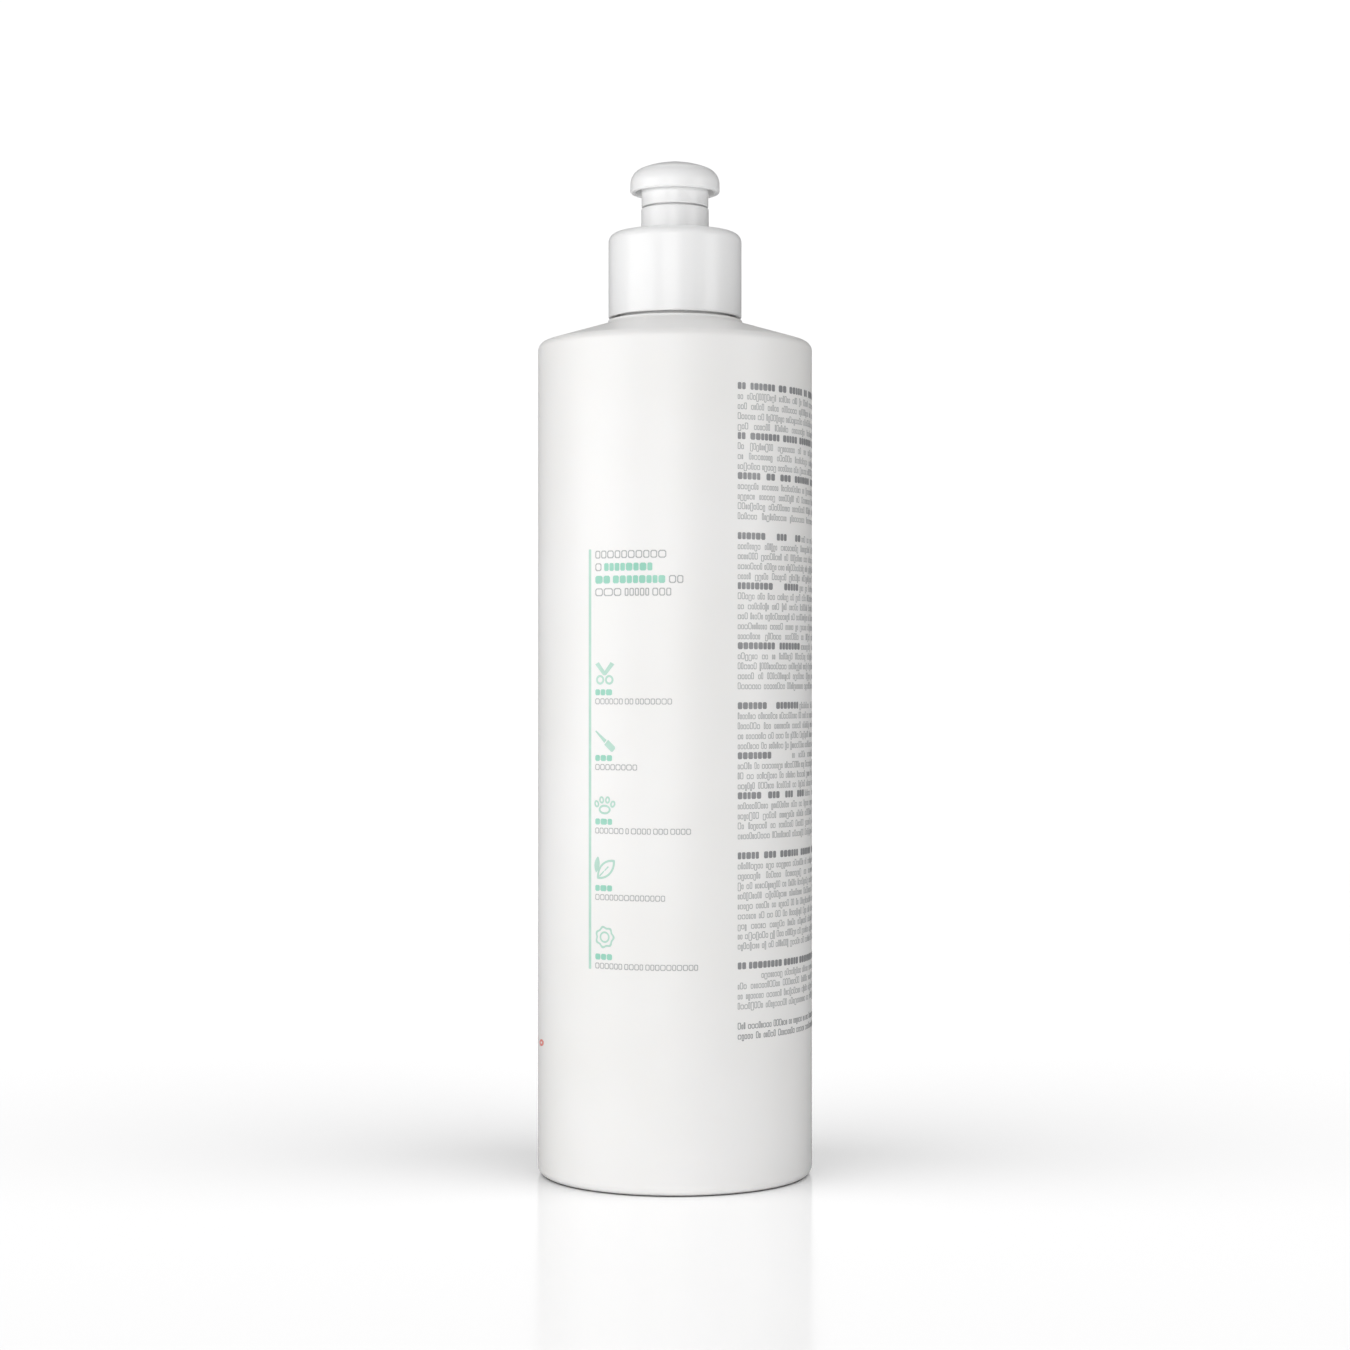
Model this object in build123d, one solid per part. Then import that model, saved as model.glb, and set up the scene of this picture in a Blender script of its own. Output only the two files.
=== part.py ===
from build123d import *

import os
from math import cos, pi, radians, sin, sqrt, tan

# Half-litre shampoo bottle with a screw closure and a push-pull spout.
#
# Millimetres, +Z up, origin at the centre of the standing ring, bottle axis on Z, and -Y towards the
# side panel of the print. Everything is shut: the closure is screwed home and the spout is pushed
# down on its plug. It comes apart into four pieces:
#   bottle          blow-moulded body with a screw neck, 28 mm, six threads to the inch
#   sealing_liner   foam washer squeezed between the neck's rim and the closure's deck
#   closure_base    skirt, deck, collar, hollow post, and the plug on its spider, in one moulding
#   pull_spout      mushroom knob that slides on the post and uncovers the plug

# Bottle: body
BODY_RADIUS = 31.0
WALL = 1.0
HEEL_RADIUS = 2.0
SHOULDER_START = 185.7  # height at which the straight wall ends
SHOULDER_CORNER_RADIUS = 1.9
SHOULDER_SLOPE = radians(16.65)  # above the horizontal
LAND_HEIGHT = 192.6  # flat land round the foot of the neck
LAND_RADIUS = 15.2

# Bottle: hollow foot
FOOT_THICKNESS = 1.3
STANDING_RING_INNER = 26.8
PUSH_UP_RADIUS = 23.5
PUSH_UP_RIM_HEIGHT = 2.5
PUSH_UP_CENTRE_HEIGHT = 3.2
PINCH_WIDTH = 0.6  # weld line across the foot, left by the mould
PINCH_LENGTH = 34.0
PINCH_DEPTH = 0.35  # how far the weld line stands below the push-up

# Screw neck
NECK_RADIUS = 12.5
BORE_RADIUS = 10.8
NECK_HEIGHT = 17.8
NECK_CREST_RADIUS = 13.65
NECK_ROOT_WIDTH = 2.3
NECK_CREST_WIDTH = 0.9
NECK_THREAD_DROP = 1.2  # rim down to the thread's upper flank

# Both threads
PITCH = 25.4 / 6
THREAD_TURNS = 1.5
FADE_TURNS = 0.16  # run-out at each end
SECTIONS_PER_TURN = 12
THREAD_SINK = 0.4  # how deep a thread's root is buried in its wall

# Liner
LINER_THICKNESS = 0.7
LINER_OUTER = 13.3
LINER_HOLE = 9.0

# Closure: skirt and deck
SKIRT_GAP = 0.6  # land up to the skirt's lower edge
SKIRT_RADIUS = 15.05
SKIRT_INNER = 13.9
DECK_THICKNESS = 1.2
DECK_EDGE_RADIUS = 2.0
CLOSURE_CREST_RADIUS = 12.8
CLOSURE_ROOT_WIDTH = 1.7
CLOSURE_CREST_WIDTH = 0.8
FLANK_GAP = 0.12  # left between the flanks that pull the closure down

# Closure: collar, post and plug
COLLAR_RADIUS = 7.64
COLLAR_HEIGHT = 5.6
COLLAR_BORE = 6.5
STEP_THICKNESS = 1.2
POST_RADIUS = 6.2
POST_BORE = 5.0
POST_HEIGHT = 7.5  # above the collar
BEAD_RADIUS = 6.6
BEAD_HEIGHT = 1.0
PLUG_RADIUS = 2.4
RIB_PAIRS = 2
RIB_WIDTH = 1.3
RIB_DEPTH = 2.0
RIB_DROP = 0.8  # post's rim down to the ribs

# Pull spout
SPOUT_TRAVEL = 5.0
SEAT_GAP = 0.4  # collar up to the stem when the spout is shut
STEM_RADIUS = 7.56
STEM_CAVITY = 6.7
LIP_RADIUS = 6.25  # slides on the post
STOP_GAP = 0.1  # left between the lip and the bead when the spout is open
RIM_RADIUS = 10.1
RIM_THICKNESS = 1.15
RIM_DEPTH = 2.0  # brow's centre down to the rim's lower edge
RECESS_RISE = 1.6  # brow's centre up to the top of the hollow behind the rim
BROW_RADIUS = 3.7
BROW_RISE = 5.2  # stem's lower edge up to the centre of the brow's arc
DOME_RADIUS = 20.6
DOME_WALL = 1.2
ORIFICE_RADIUS = 2.45
ORIFICE_FLARE = 0.45

# Heights that follow from the sizes above
NECK_TOP = LAND_HEIGHT + NECK_HEIGHT
NECK_THREAD_TOP = NECK_TOP - NECK_THREAD_DROP - NECK_ROOT_WIDTH / 2
SKIRT_BOTTOM = LAND_HEIGHT + SKIRT_GAP
DECK_UNDERSIDE = NECK_TOP + LINER_THICKNESS
DECK_TOP = DECK_UNDERSIDE + DECK_THICKNESS
COLLAR_TOP = DECK_TOP + COLLAR_HEIGHT
POST_TOP = COLLAR_TOP + POST_HEIGHT
BEAD_BOTTOM = POST_TOP - BEAD_HEIGHT
RIB_TOP = POST_TOP - RIB_DROP
STEM_BOTTOM = COLLAR_TOP + SEAT_GAP
LIP_TOP = BEAD_BOTTOM - SPOUT_TRAVEL - STOP_GAP
BROW_HEIGHT = STEM_BOTTOM + BROW_RISE
BROW_CENTRE_RADIUS = RIM_RADIUS - BROW_RADIUS
DOME_CENTRE_HEIGHT = BROW_HEIGHT - sqrt((DOME_RADIUS - BROW_RADIUS) ** 2 - BROW_CENTRE_RADIUS**2)


def turned(corners):
    """Solid of revolution about Z, from (radius, height, rounding of that corner) triples."""
    outline = FilletPolyline(
        [(r, 0, z) for r, z, rounding in corners],
        radius=[rounding for r, z, rounding in corners],
        close=True,
    )
    return revolve(make_face(outline), Axis.Z)


def thread_section(turn, height, root, crest, root_width, crest_width):
    """Trapezoid across a thread, a number of turns round the axis from +X."""
    angle = 2 * pi * turn
    outward = Vector(cos(angle), sin(angle), 0)
    across = Plane((0, 0, height), x_dir=outward, z_dir=outward.cross(Vector(0, 0, 1)))
    corners = Polyline(
        (root, -root_width / 2),
        (crest, -crest_width / 2),
        (crest, crest_width / 2),
        (root, root_width / 2),
        close=True,
    )
    return across * make_face(corners)


def screw_thread(wall, crest, top, root_width, crest_width):
    """Right-hand thread whose upper end is at the height top; both ends fade into the wall.

    A crest larger than the wall stands outwards, as on the neck, and a smaller one inwards.
    """
    out = 1 if crest > wall else -1
    root = wall - out * THREAD_SINK
    faded = root + out * THREAD_SINK / 2
    sections = []
    for step in range(round(THREAD_TURNS * SECTIONS_PER_TURN) + 1):
        turn = step / SECTIONS_PER_TURN
        run_out = min(1, turn / FADE_TURNS, (THREAD_TURNS - turn) / FADE_TURNS)
        swell = (1 - cos(pi * run_out)) / 2
        tip = faded + (crest - faded) * swell
        height = top - (THREAD_TURNS - turn) * PITCH
        sections.append(thread_section(turn, height, root, tip, root_width, crest_width))
    return loft(sections)


def shoulder_height(radius):
    """Height of the sloping shoulder's outer face, continued to any radius."""
    sharp_corner = SHOULDER_START + SHOULDER_CORNER_RADIUS * tan((pi / 2 - SHOULDER_SLOPE) / 2)
    return sharp_corner + (BODY_RADIUS - radius) * tan(SHOULDER_SLOPE)


def make_bottle():
    inner = BODY_RADIUS - WALL
    shoulder_wall = WALL / cos(SHOULDER_SLOPE)
    outside = [
        (0, PUSH_UP_CENTRE_HEIGHT, 0),
        (PUSH_UP_RADIUS, PUSH_UP_RIM_HEIGHT, 1.6),
        (STANDING_RING_INNER, 0, 0.8),
        (BODY_RADIUS, 0, HEEL_RADIUS),
        (BODY_RADIUS, shoulder_height(BODY_RADIUS), SHOULDER_CORNER_RADIUS),
        (LAND_RADIUS, shoulder_height(LAND_RADIUS), 0.7),
        (LAND_RADIUS, LAND_HEIGHT, 0.25),
        (NECK_RADIUS, LAND_HEIGHT, 0.5),
        (NECK_RADIUS, NECK_TOP, 0.35),
    ]
    inside = [
        (BORE_RADIUS, NECK_TOP, 0.25),
        (BORE_RADIUS, shoulder_height(BORE_RADIUS) - shoulder_wall, 1.0),
        (inner, shoulder_height(inner) - shoulder_wall, 1.2),
        (inner, FOOT_THICKNESS, HEEL_RADIUS - 0.5),
        (STANDING_RING_INNER, FOOT_THICKNESS, 0.8),
        (PUSH_UP_RADIUS, PUSH_UP_RIM_HEIGHT + FOOT_THICKNESS, 1.6),
        (0, PUSH_UP_CENTRE_HEIGHT + FOOT_THICKNESS, 0),
    ]
    thread = screw_thread(
        NECK_RADIUS, NECK_CREST_RADIUS, NECK_THREAD_TOP, NECK_ROOT_WIDTH, NECK_CREST_WIDTH
    )
    return turned(outside + inside) + thread + pinch_line()


def pinch_line():
    """Weld line on the underside, along the mould's parting plane; it follows the push-up's cone."""
    slope = (PUSH_UP_CENTRE_HEIGHT - PUSH_UP_RIM_HEIGHT) / PUSH_UP_RADIUS
    half = PINCH_LENGTH / 2
    end_height = PUSH_UP_CENTRE_HEIGHT - slope * half
    band = Polyline(
        (-half, end_height - PINCH_DEPTH),
        (0, PUSH_UP_CENTRE_HEIGHT - PINCH_DEPTH),
        (half, end_height - PINCH_DEPTH),
        (half, end_height + FOOT_THICKNESS / 2),
        (-half, end_height + FOOT_THICKNESS / 2),
        close=True,
    )
    return extrude(Plane.XZ * make_face(band), PINCH_WIDTH / 2, both=True)


def make_liner():
    return turned(
        [
            (LINER_HOLE, NECK_TOP, 0),
            (LINER_OUTER, NECK_TOP, 0),
            (LINER_OUTER, DECK_UNDERSIDE, 0),
            (LINER_HOLE, DECK_UNDERSIDE, 0),
        ]
    )


def make_closure_base():
    outside = [
        (SKIRT_INNER, SKIRT_BOTTOM, 0.2),
        (SKIRT_RADIUS, SKIRT_BOTTOM, 0.3),
        (SKIRT_RADIUS, DECK_TOP, DECK_EDGE_RADIUS),
        (COLLAR_RADIUS, DECK_TOP, 0.3),
        (COLLAR_RADIUS, COLLAR_TOP, 0.2),
        (POST_RADIUS, COLLAR_TOP, 0.15),
        (POST_RADIUS, BEAD_BOTTOM, 0),
        (BEAD_RADIUS, BEAD_BOTTOM, 0.1),
        (BEAD_RADIUS, BEAD_BOTTOM + BEAD_HEIGHT / 2, 0.2),
        (POST_RADIUS, POST_TOP, 0.1),
    ]
    inside = [
        (POST_BORE, POST_TOP, 0.2),
        (POST_BORE, COLLAR_TOP - STEP_THICKNESS, 0.3),
        (COLLAR_BORE, COLLAR_TOP - STEP_THICKNESS, 0.4),
        (COLLAR_BORE, DECK_UNDERSIDE, 0.3),
        (SKIRT_INNER, DECK_UNDERSIDE, 0.4),
    ]
    return turned(outside + inside) + closure_thread() + spider() + plug()


def closure_thread():
    """Its upper flank pulls against the lower flank of the neck's thread."""
    flank_slope = (NECK_ROOT_WIDTH - NECK_CREST_WIDTH) / (NECK_CREST_RADIUS - NECK_RADIUS + THREAD_SINK)
    neck_width = NECK_CREST_WIDTH + flank_slope * (NECK_CREST_RADIUS - CLOSURE_CREST_RADIUS)
    drop = (neck_width + CLOSURE_CREST_WIDTH) / 2 + FLANK_GAP
    return screw_thread(
        SKIRT_INNER,
        CLOSURE_CREST_RADIUS,
        NECK_THREAD_TOP - drop,
        CLOSURE_ROOT_WIDTH,
        CLOSURE_CREST_WIDTH,
    )


def spider():
    """Ribs that hold the plug in the middle of the post's bore, with windows between them."""
    into_wall = (POST_RADIUS - POST_BORE) / 2
    rib = Box(2 * (POST_BORE + into_wall), RIB_WIDTH, RIB_DEPTH)
    ribs = [Rot(0, 0, 180 / RIB_PAIRS * i) * rib for i in range(RIB_PAIRS)]
    return Pos(0, 0, RIB_TOP - RIB_DEPTH / 2) * (Part() + ribs)


def plug():
    """Pin that closes the orifice, level with the crown of the dome."""
    return turned(
        [
            (0, RIB_TOP - RIB_DEPTH, 0),
            (PLUG_RADIUS, RIB_TOP - RIB_DEPTH, 0.3),
            (PLUG_RADIUS, dome_height(0), 0.35),
            (0, dome_height(0), 0),
        ]
    )


def dome_height(radius):
    """Height of the dome's outer face at a radius inside the brow."""
    return DOME_CENTRE_HEIGHT + sqrt(DOME_RADIUS**2 - radius**2)


def make_pull_spout():
    # The brow's arc turns the rim into the dome and touches both
    brow_centre = Vector(BROW_CENTRE_RADIUS, 0, BROW_HEIGHT)
    dome_centre = Vector(0, 0, DOME_CENTRE_HEIGHT)
    to_dome = (brow_centre - dome_centre).normalized()
    brow_middle = (Vector(1, 0, 0) + to_dome).normalized()
    mouth = ORIFICE_RADIUS + ORIFICE_FLARE
    halfway = (mouth + BROW_CENTRE_RADIUS) / 2

    rim_bottom = BROW_HEIGHT - RIM_DEPTH
    rim_inner = RIM_RADIUS - RIM_THICKNESS
    rim_side = Line((RIM_RADIUS, 0, rim_bottom + RIM_DEPTH / 2), (RIM_RADIUS, 0, BROW_HEIGHT))
    brow = ThreePointArc(
        rim_side @ 1, brow_centre + brow_middle * BROW_RADIUS, brow_centre + to_dome * BROW_RADIUS
    )
    dome = ThreePointArc(brow @ 1, (halfway, 0, dome_height(halfway)), (mouth, 0, dome_height(mouth)))

    # From the mouth down the inside, round the stem's foot and up behind the rim
    recess_top = BROW_HEIGHT + RECESS_RISE
    inner_corners = [
        (ORIFICE_RADIUS, dome_height(mouth) - ORIFICE_FLARE, 0.1),
        (ORIFICE_RADIUS, dome_height(ORIFICE_RADIUS) - DOME_WALL, 0.15),
        (STEM_CAVITY, dome_height(STEM_CAVITY) - DOME_WALL, 0.4),
        (STEM_CAVITY, LIP_TOP, 0.1),
        (LIP_RADIUS, LIP_TOP, 0.1),
        (LIP_RADIUS, STEM_BOTTOM, 0.2),
        (STEM_RADIUS, STEM_BOTTOM, 0.25),
        (STEM_RADIUS, recess_top, 0.5),
        (rim_inner, recess_top, 0.5),
        (rim_inner, rim_bottom, 0.3),
        (RIM_RADIUS, rim_bottom, 0.5),
    ]
    inside = FilletPolyline(
        [dome @ 1] + [(r, 0, z) for r, z, rounding in inner_corners] + [rim_side @ 0],
        radius=[rounding for r, z, rounding in inner_corners],
    )
    return revolve(make_face([rim_side, brow, dome] + list(inside.edges())), Axis.Z)


def main():
    os.makedirs("parts", exist_ok=True)
    nodes = {
        "bottle": make_bottle(),
        "sealing_liner": make_liner(),
        "closure_base": make_closure_base(),
        "pull_spout": make_pull_spout(),
    }
    for name, part in nodes.items():
        export_step(part, f"parts/{name}.step")
        print(name, len(part.solids()), "solid,", round(part.volume / 1000, 2), "cm3")


main()
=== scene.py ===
import random
from math import cos, hypot, pi, radians, sin, tan

import bmesh
import bpy
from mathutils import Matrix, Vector


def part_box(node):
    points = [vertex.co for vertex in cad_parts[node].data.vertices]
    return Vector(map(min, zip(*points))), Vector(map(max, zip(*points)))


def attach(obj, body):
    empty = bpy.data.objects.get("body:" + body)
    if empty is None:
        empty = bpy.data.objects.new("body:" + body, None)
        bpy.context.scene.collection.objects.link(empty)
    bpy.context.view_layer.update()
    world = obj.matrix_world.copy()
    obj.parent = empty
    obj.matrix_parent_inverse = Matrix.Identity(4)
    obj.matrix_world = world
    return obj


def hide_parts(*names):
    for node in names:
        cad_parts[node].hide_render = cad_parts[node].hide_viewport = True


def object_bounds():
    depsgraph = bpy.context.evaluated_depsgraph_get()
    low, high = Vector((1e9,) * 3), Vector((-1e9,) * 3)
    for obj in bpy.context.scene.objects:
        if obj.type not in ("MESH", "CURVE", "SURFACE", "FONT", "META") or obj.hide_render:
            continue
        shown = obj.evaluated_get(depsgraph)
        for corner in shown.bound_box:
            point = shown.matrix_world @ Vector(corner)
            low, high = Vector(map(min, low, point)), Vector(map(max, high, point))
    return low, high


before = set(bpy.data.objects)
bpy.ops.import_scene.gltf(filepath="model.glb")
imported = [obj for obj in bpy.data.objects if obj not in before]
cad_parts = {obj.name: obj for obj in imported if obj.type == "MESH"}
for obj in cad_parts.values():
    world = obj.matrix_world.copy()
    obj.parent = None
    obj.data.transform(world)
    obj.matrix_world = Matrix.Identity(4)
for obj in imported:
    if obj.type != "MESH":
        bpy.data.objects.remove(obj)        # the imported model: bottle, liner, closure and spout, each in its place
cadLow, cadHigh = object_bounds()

mm = 0.001               # sizes below are written in millimetres, the scene is in metres


def linearColour(hexColour):
    # sRGB hex digits to the linear colour that sockets take
    channels = [int(hexColour[i:i + 2], 16) / 255 for i in (1, 3, 5)]
    linear = [c / 12.92 if c <= 0.04045 else ((c + 0.055) / 1.055) ** 2.4 for c in channels]
    return linear + [1.0]


def perSize(size):
    # texture scale that makes features about this large
    return 1 / size


def addNode(tree, kind, settings, links):
    # one node: settings go to its sockets or properties, links join its inputs to other sockets
    node = tree.nodes.new(kind)
    for name, value in settings.items():
        if name in node.inputs:
            node.inputs[name].default_value = value
        else:
            setattr(node, name, value)
    for name, source in links.items():
        tree.links.new(source, node.inputs[name])
    return node


def startMaterial(name, shaderSettings):
    # a new material with its shader set and the object's own coordinates ready
    material = bpy.data.materials.new(name)
    material.use_nodes = True
    tree = material.node_tree
    shader = tree.nodes["Principled BSDF"]
    for socket, value in shaderSettings.items():
        shader.inputs[socket].default_value = value
    place = addNode(tree, "ShaderNodeTexCoord", {}, {}).outputs["Object"]
    return material, tree, shader, place


def openForEdit(piece):
    bpy.ops.object.select_all(action="DESELECT")
    piece.select_set(True)
    bpy.context.view_layer.objects.active = piece
    bpy.ops.object.mode_set(mode="EDIT")


def closeEdit():
    bpy.ops.object.mode_set(mode="OBJECT")


def pick(piece, wanted, kind="VERT"):
    # in edit mode, selects the vertices, edges or faces that wanted() says yes to
    bpy.ops.mesh.select_mode(type=kind)
    bpy.ops.mesh.select_all(action="DESELECT")
    edit = bmesh.from_edit_mesh(piece.data)
    group = {"VERT": edit.verts, "EDGE": edit.edges, "FACE": edit.faces}[kind]
    for element in group:
        if wanted(element):
            element.select_set(True)
    bmesh.update_edit_mesh(piece.data)


def applyModifier(piece, kind, settings):
    bpy.ops.object.select_all(action="DESELECT")
    piece.select_set(True)
    bpy.context.view_layer.objects.active = piece
    modifier = piece.modifiers.new(kind.lower(), kind)
    for name, value in settings.items():
        setattr(modifier, name, value)
    bpy.ops.object.modifier_apply(modifier=modifier.name)


def finishPiece(piece, name, material, body):
    # smooth shading with crisp edges, one material, and the body it moves with
    piece.name = name
    piece.data.name = name
    piece.data.materials.clear()
    piece.data.materials.append(material)
    bpy.ops.object.select_all(action="DESELECT")
    piece.select_set(True)
    bpy.context.view_layer.objects.active = piece
    bpy.ops.object.shade_smooth_by_angle(angle=radians(32))
    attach(piece, body)
    return piece


def hdpeMoulded():
    # HDPE, extrusion blow-moulded in a sand-blasted mould, filled white: a satin, slightly warm
    # white with soft edges to its highlights, a trace of light inside the wall and a faint orange peel
    look = {
        "warm": "#F1F0EE", "clean": "#F5F4F3", "cloud": 42 * mm,
        "peel": 1.6 * mm, "peelDepth": 0.02 * mm,
        "grain": 0.30 * mm,          # the blasted pits are 0.1 mm, drawn coarser so that they show
        "grainDepth": 0.004 * mm,
    }
    material, tree, shader, place = startMaterial("HDPE blow moulded white", {
        "IOR": 1.54, "Subsurface Weight": 0.12, "Subsurface Scale": 1.2 * mm,
        "Subsurface Radius": (1.0, 0.9, 0.8),
    })
    cloud = addNode(tree, "ShaderNodeTexNoise", {"Scale": perSize(look["cloud"]), "Detail": 2.0},
                    {"Vector": place})
    tone = addNode(tree, "ShaderNodeValToRGB", {}, {"Fac": cloud.outputs["Fac"]})
    tone.color_ramp.elements[0].position = 0.35
    tone.color_ramp.elements[0].color = linearColour(look["warm"])
    tone.color_ramp.elements[1].position = 0.65
    tone.color_ramp.elements[1].color = linearColour(look["clean"])
    tree.links.new(tone.outputs["Color"], shader.inputs["Base Color"])
    peel = addNode(tree, "ShaderNodeTexNoise", {"Scale": perSize(look["peel"]), "Detail": 1.0},
                   {"Vector": place})
    grain = addNode(tree, "ShaderNodeTexNoise", {"Scale": perSize(look["grain"]), "Detail": 2.0},
                    {"Vector": place})
    satin = addNode(tree, "ShaderNodeMapRange", {"To Min": 0.34, "To Max": 0.46},
                    {"Value": peel.outputs["Fac"]})
    tree.links.new(satin.outputs["Result"], shader.inputs["Roughness"])
    waves = addNode(tree, "ShaderNodeBump", {"Strength": 0.25, "Distance": look["peelDepth"]},
                    {"Height": peel.outputs["Fac"]})
    skin = addNode(tree, "ShaderNodeBump", {"Strength": 0.3, "Distance": look["grainDepth"]},
                   {"Height": grain.outputs["Fac"], "Normal": waves.outputs["Normal"]})
    tree.links.new(skin.outputs["Normal"], shader.inputs["Normal"])
    return material


def ppMoulded():
    # PP, injection-moulded against polished steel, bright neutral white: glossy, with slow sink
    # waves under the highlights and a gloss that handling has dulled a little in soft patches
    look = {"white": "#F7F7F7", "sink": 9 * mm, "sinkDepth": 0.04 * mm, "handled": 3.5 * mm}
    material, tree, shader, place = startMaterial("PP injection moulded white", {
        "Base Color": linearColour(look["white"]), "IOR": 1.49,
        "Subsurface Weight": 0.10, "Subsurface Scale": 0.8 * mm, "Subsurface Radius": (1.0, 0.95, 0.9),
    })
    sink = addNode(tree, "ShaderNodeTexNoise", {"Scale": perSize(look["sink"]), "Detail": 1.0},
                   {"Vector": place})
    handled = addNode(tree, "ShaderNodeTexNoise", {"Scale": perSize(look["handled"]), "Detail": 2.0},
                      {"Vector": place})
    gloss = addNode(tree, "ShaderNodeMapRange",
                    {"From Min": 0.35, "From Max": 0.75, "To Min": 0.28, "To Max": 0.31},
                    {"Value": handled.outputs["Fac"]})
    tree.links.new(gloss.outputs["Result"], shader.inputs["Roughness"])
    waves = addNode(tree, "ShaderNodeBump", {"Strength": 0.25, "Distance": look["sinkDepth"]},
                    {"Height": sink.outputs["Fac"]})
    tree.links.new(waves.outputs["Normal"], shader.inputs["Normal"])
    return material


def peFoam():
    # PE foam sheet, die-cut: dull soft white, with the closed cells showing as tiny dimples
    look = {"white": "#F2F2EE", "cell": 0.45 * mm, "cellDepth": 0.08 * mm}
    material, tree, shader, place = startMaterial("PE foam die cut", {
        "Base Color": linearColour(look["white"]), "Roughness": 0.75, "IOR": 1.5,
        "Subsurface Weight": 0.3, "Subsurface Scale": 0.6 * mm,
    })
    cells = addNode(tree, "ShaderNodeTexVoronoi", {"Scale": perSize(look["cell"])}, {"Vector": place})
    dimples = addNode(tree, "ShaderNodeBump", {"Strength": 0.6, "Distance": look["cellDepth"]},
                      {"Height": cells.outputs["Distance"]})
    tree.links.new(dimples.outputs["Normal"], shader.inputs["Normal"])
    return material


def screenInk(name, full, thin):
    # UV ink, screen-printed straight on the wall: a smooth film, a little glossier than the plastic,
    # whose tone clouds slightly where the squeegee laid it thinner, with the screen's mesh in its skin
    look = {
        "patch": 3.0 * mm,
        "mesh": 0.22 * mm,           # the screen's threads are 0.08 mm, drawn coarser so that they show
        "meshDepth": 0.003 * mm,
    }
    material, tree, shader, place = startMaterial(name, {"IOR": 1.5, "Roughness": 0.33})
    patch = addNode(tree, "ShaderNodeTexNoise", {"Scale": perSize(look["patch"]), "Detail": 3.0},
                    {"Vector": place})
    tone = addNode(tree, "ShaderNodeValToRGB", {}, {"Fac": patch.outputs["Fac"]})
    tone.color_ramp.elements[0].position = 0.30
    tone.color_ramp.elements[0].color = linearColour(thin)
    tone.color_ramp.elements[1].position = 0.55
    tone.color_ramp.elements[1].color = linearColour(full)
    tree.links.new(tone.outputs["Color"], shader.inputs["Base Color"])
    mesh = addNode(tree, "ShaderNodeTexVoronoi", {"Scale": perSize(look["mesh"])}, {"Vector": place})
    skin = addNode(tree, "ShaderNodeBump", {"Strength": 0.2, "Distance": look["meshDepth"]},
                   {"Height": mesh.outputs["Distance"]})
    tree.links.new(skin.outputs["Normal"], shader.inputs["Normal"])
    return material


bottlePlastic = hdpeMoulded()
closurePlastic = ppMoulded()
linerFoam = peFoam()
mintInk = screenInk("UV ink mint", "#93D1BC", "#9ED8C4")
paleMintInk = screenInk("UV ink pale mint", "#B2D7C8", "#BADDCF")
greyInk = screenInk("UV ink grey", "#ACADAE", "#B4B5B5")
charcoalInk = screenInk("UV ink charcoal", "#8C8D8F", "#959698")
coralInk = screenInk("UV ink coral", "#EE9089", "#F19C95")
print("materials ready")


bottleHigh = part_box("bottle")[1]
bottleShape = {
    "film": 0.03 * mm,               # the wall stands this far inside its box, to leave room for ink
    "wall": 1.0 * mm,
    "heel": 2.0 * mm,
    "heelInside": 1.5 * mm,
    "shoulderStart": 185.7 * mm,
    "shoulderCorner": 1.9 * mm,
    "shoulderInside": 1.2 * mm,
    "shoulderSlope": radians(16.65),
    "landHeight": 192.6 * mm,
    "landRadius": 15.2 * mm,
    "landFillet": 0.7 * mm,
    "landEdge": 0.25 * mm,
    "neckRadius": 12.5 * mm,
    "neckFillet": 0.5 * mm,
    "rimOuter": 0.35 * mm,
    "rimInner": 0.25 * mm,
    "boreRadius": 10.8 * mm,
    "boreFillet": 1.0 * mm,
    "footThickness": 1.3 * mm,
    "ringInner": 26.8 * mm,          # the ring it stands on ends here, and the hollow foot begins
    "ringFillet": 0.8 * mm,
    "pushUpRadius": 23.5 * mm,
    "pushUpFillet": 1.6 * mm,
    "pushUpRim": 2.5 * mm,
    "pushUpCentre": 3.2 * mm,
    "columns": 256,                  # faces round the wall
    "partingWidth": 0.22 * mm,
    "partingRise": 0.015 * mm,       # lower than the ink is thick
    "pinchWidth": 0.6 * mm,
    "pinchLength": 34 * mm,
    "pinchDepth": 0.35 * mm,
}
wallRadius = bottleHigh.x - bottleShape["film"]
neckTop = bottleHigh.z


def shoulderHeight(radius):
    # outer face of the sloping shoulder
    shape = bottleShape
    turn = pi / 2 - shape["shoulderSlope"]
    sharp = shape["shoulderStart"] + shape["shoulderCorner"] * tan(turn / 2)
    return sharp + (wallRadius - radius) * tan(shape["shoulderSlope"])


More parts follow.
